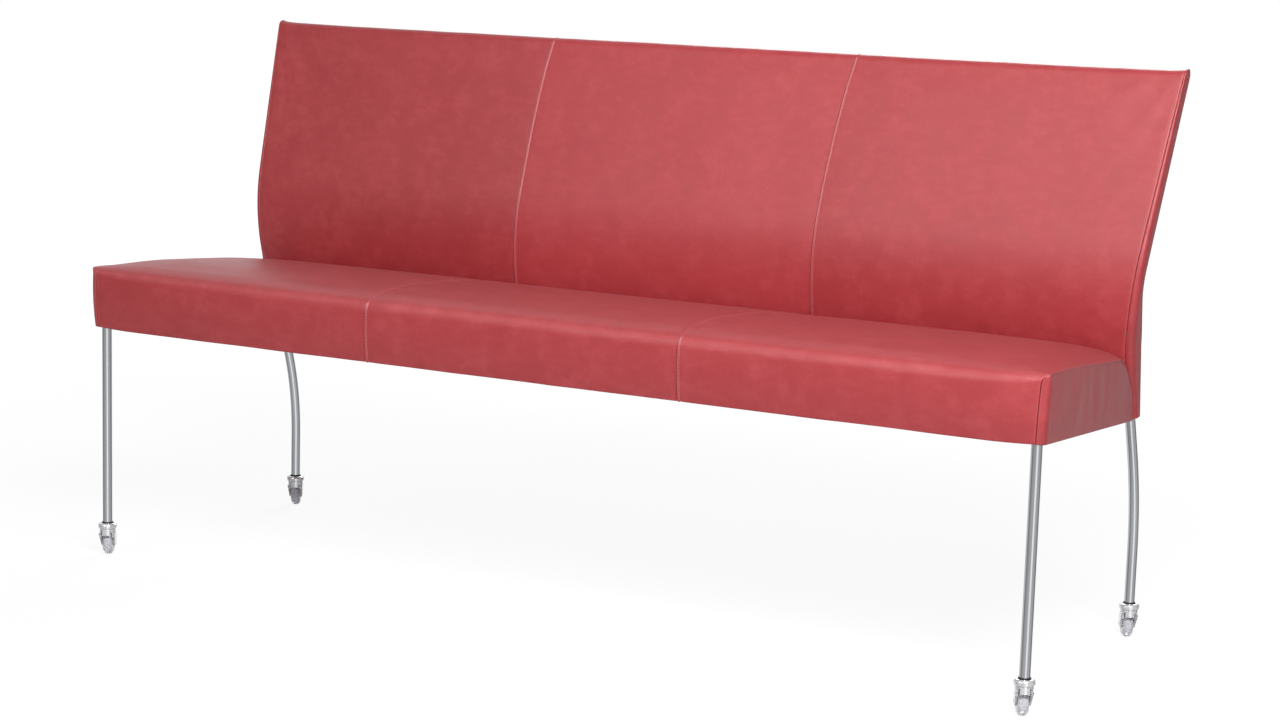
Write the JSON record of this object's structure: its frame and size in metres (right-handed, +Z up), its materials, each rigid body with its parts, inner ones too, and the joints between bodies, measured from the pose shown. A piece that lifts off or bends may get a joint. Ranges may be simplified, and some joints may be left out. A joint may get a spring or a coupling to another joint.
{
  "type": "dining bench",
  "caption": "Long leather dining bench with a curved backrest, brushed steel tube legs and small swivel castors with clear wheels.",
  "frame": {"origin": "on the floor, at the middle of the bench's floor area", "axes": "+X along the seat towards its right-hand end seen from the front, +Y from the front to the back, +Z up"},
  "size_m": [1.719, 0.5653, 0.9049],
  "materials": {
    "leather": "soft semi-aniline with a faint pull-up mottle",
    "brushed_steel": "fine brushed along the tube",
    "frame_steel": "black powder coat, hidden in the upholstery",
    "zinc_steel": "bright zinc",
    "plywood": "raw birch ply, hidden in the upholstery",
    "base_fabric": "black bottoming cloth on board",
    "foam": "polyurethane foam, hidden in the upholstery",
    "dark_plastic": "moulded",
    "chrome": "bright chrome plate on die casting",
    "clear_core": "translucent moulded core",
    "clear_tyre": "clear cast polyurethane"
  },
  "bodies": {
    "frame": {"back_bottom_rail": "frame_steel", "back_cover_centre": "leather", "back_cover_left": "leather", "back_cover_right": "leather", "back_edge_strip_left": "leather", "back_edge_strip_right": "leather", "back_foam_front": "foam", "back_foam_rear": "foam", "back_panel": "plywood", "back_rear_cover_centre": "leather", "back_rear_cover_left": "leather", "back_rear_cover_right": "leather", "back_top_rail": "frame_steel", "deck_screws": "zinc_steel", "front_left_castor_plug": "dark_plastic", "front_left_castor_stem": "zinc_steel", "front_leg_left": "brushed_steel", "front_leg_right": "brushed_steel", "front_right_castor_plug": "dark_plastic", "front_right_castor_stem": "zinc_steel", "rear_left_castor_plug": "dark_plastic", "rear_left_castor_stem": "zinc_steel", "rear_leg_left": "brushed_steel", "rear_leg_right": "brushed_steel", "rear_right_castor_plug": "dark_plastic", "rear_right_castor_stem": "zinc_steel", "seat_base_cover": "base_fabric", "seat_cover_centre": "leather", "seat_cover_left": "leather", "seat_cover_right": "leather", "seat_cross_rail_left": "frame_steel", "seat_cross_rail_right": "frame_steel", "seat_deck": "plywood", "seat_end_cover_left": "leather", "seat_end_cover_right": "leather", "seat_end_rail_left": "frame_steel", "seat_end_rail_right": "frame_steel", "seat_foam": "foam", "seat_front_rail": "frame_steel", "seat_rear_rail": "frame_steel"},
    "front_left_castor": {"front_left_castor_fork": "chrome", "front_left_castor_axle": "zinc_steel"},
    "front_left_wheel": {"front_left_castor_wheel": "clear_tyre", "front_left_castor_hub": "clear_core"},
    "front_right_castor": {"front_right_castor_fork": "chrome", "front_right_castor_axle": "zinc_steel"},
    "front_right_wheel": {"front_right_castor_wheel": "clear_tyre", "front_right_castor_hub": "clear_core"},
    "rear_left_castor": {"rear_left_castor_fork": "chrome", "rear_left_castor_axle": "zinc_steel"},
    "rear_left_wheel": {"rear_left_castor_wheel": "clear_tyre", "rear_left_castor_hub": "clear_core"},
    "rear_right_castor": {"rear_right_castor_fork": "chrome", "rear_right_castor_axle": "zinc_steel"},
    "rear_right_wheel": {"rear_right_castor_wheel": "clear_tyre", "rear_right_castor_hub": "clear_core"}
  },
  "joints": [
    {"name": "front_left_swivel", "type": "hinge", "parent": "frame", "child": "front_left_castor", "pos_m": [-0.8388, -0.25765, 0.048], "axis": [0, 0, 1], "continuous": true},
    {"name": "front_left_wheel_spin", "type": "hinge", "parent": "front_left_castor", "child": "front_left_wheel", "pos_m": [-0.84462, -0.24716, 0.021], "axis": [0.8746, 0.4848, 0], "continuous": true},
    {"name": "front_right_swivel", "type": "hinge", "parent": "frame", "child": "front_right_castor", "pos_m": [0.8388, -0.25765, 0.048], "axis": [0, 0, 1], "continuous": true},
    {"name": "front_right_wheel_spin", "type": "hinge", "parent": "front_right_castor", "child": "front_right_wheel", "pos_m": [0.83298, -0.24716, 0.021], "axis": [0.8746, 0.4848, 0], "continuous": true},
    {"name": "rear_left_swivel", "type": "hinge", "parent": "frame", "child": "rear_left_castor", "pos_m": [-0.817, 0.25235, 0.048], "axis": [0, 0, 1], "continuous": true},
    {"name": "rear_left_wheel_spin", "type": "hinge", "parent": "rear_left_castor", "child": "rear_left_wheel", "pos_m": [-0.82282, 0.26284, 0.021], "axis": [0.8746, 0.4848, 0], "continuous": true},
    {"name": "rear_right_swivel", "type": "hinge", "parent": "frame", "child": "rear_right_castor", "pos_m": [0.817, 0.25235, 0.048], "axis": [0, 0, 1], "continuous": true},
    {"name": "rear_right_wheel_spin", "type": "hinge", "parent": "rear_right_castor", "child": "rear_right_wheel", "pos_m": [0.81118, 0.26284, 0.021], "axis": [0.8746, 0.4848, 0], "continuous": true}
  ]
}
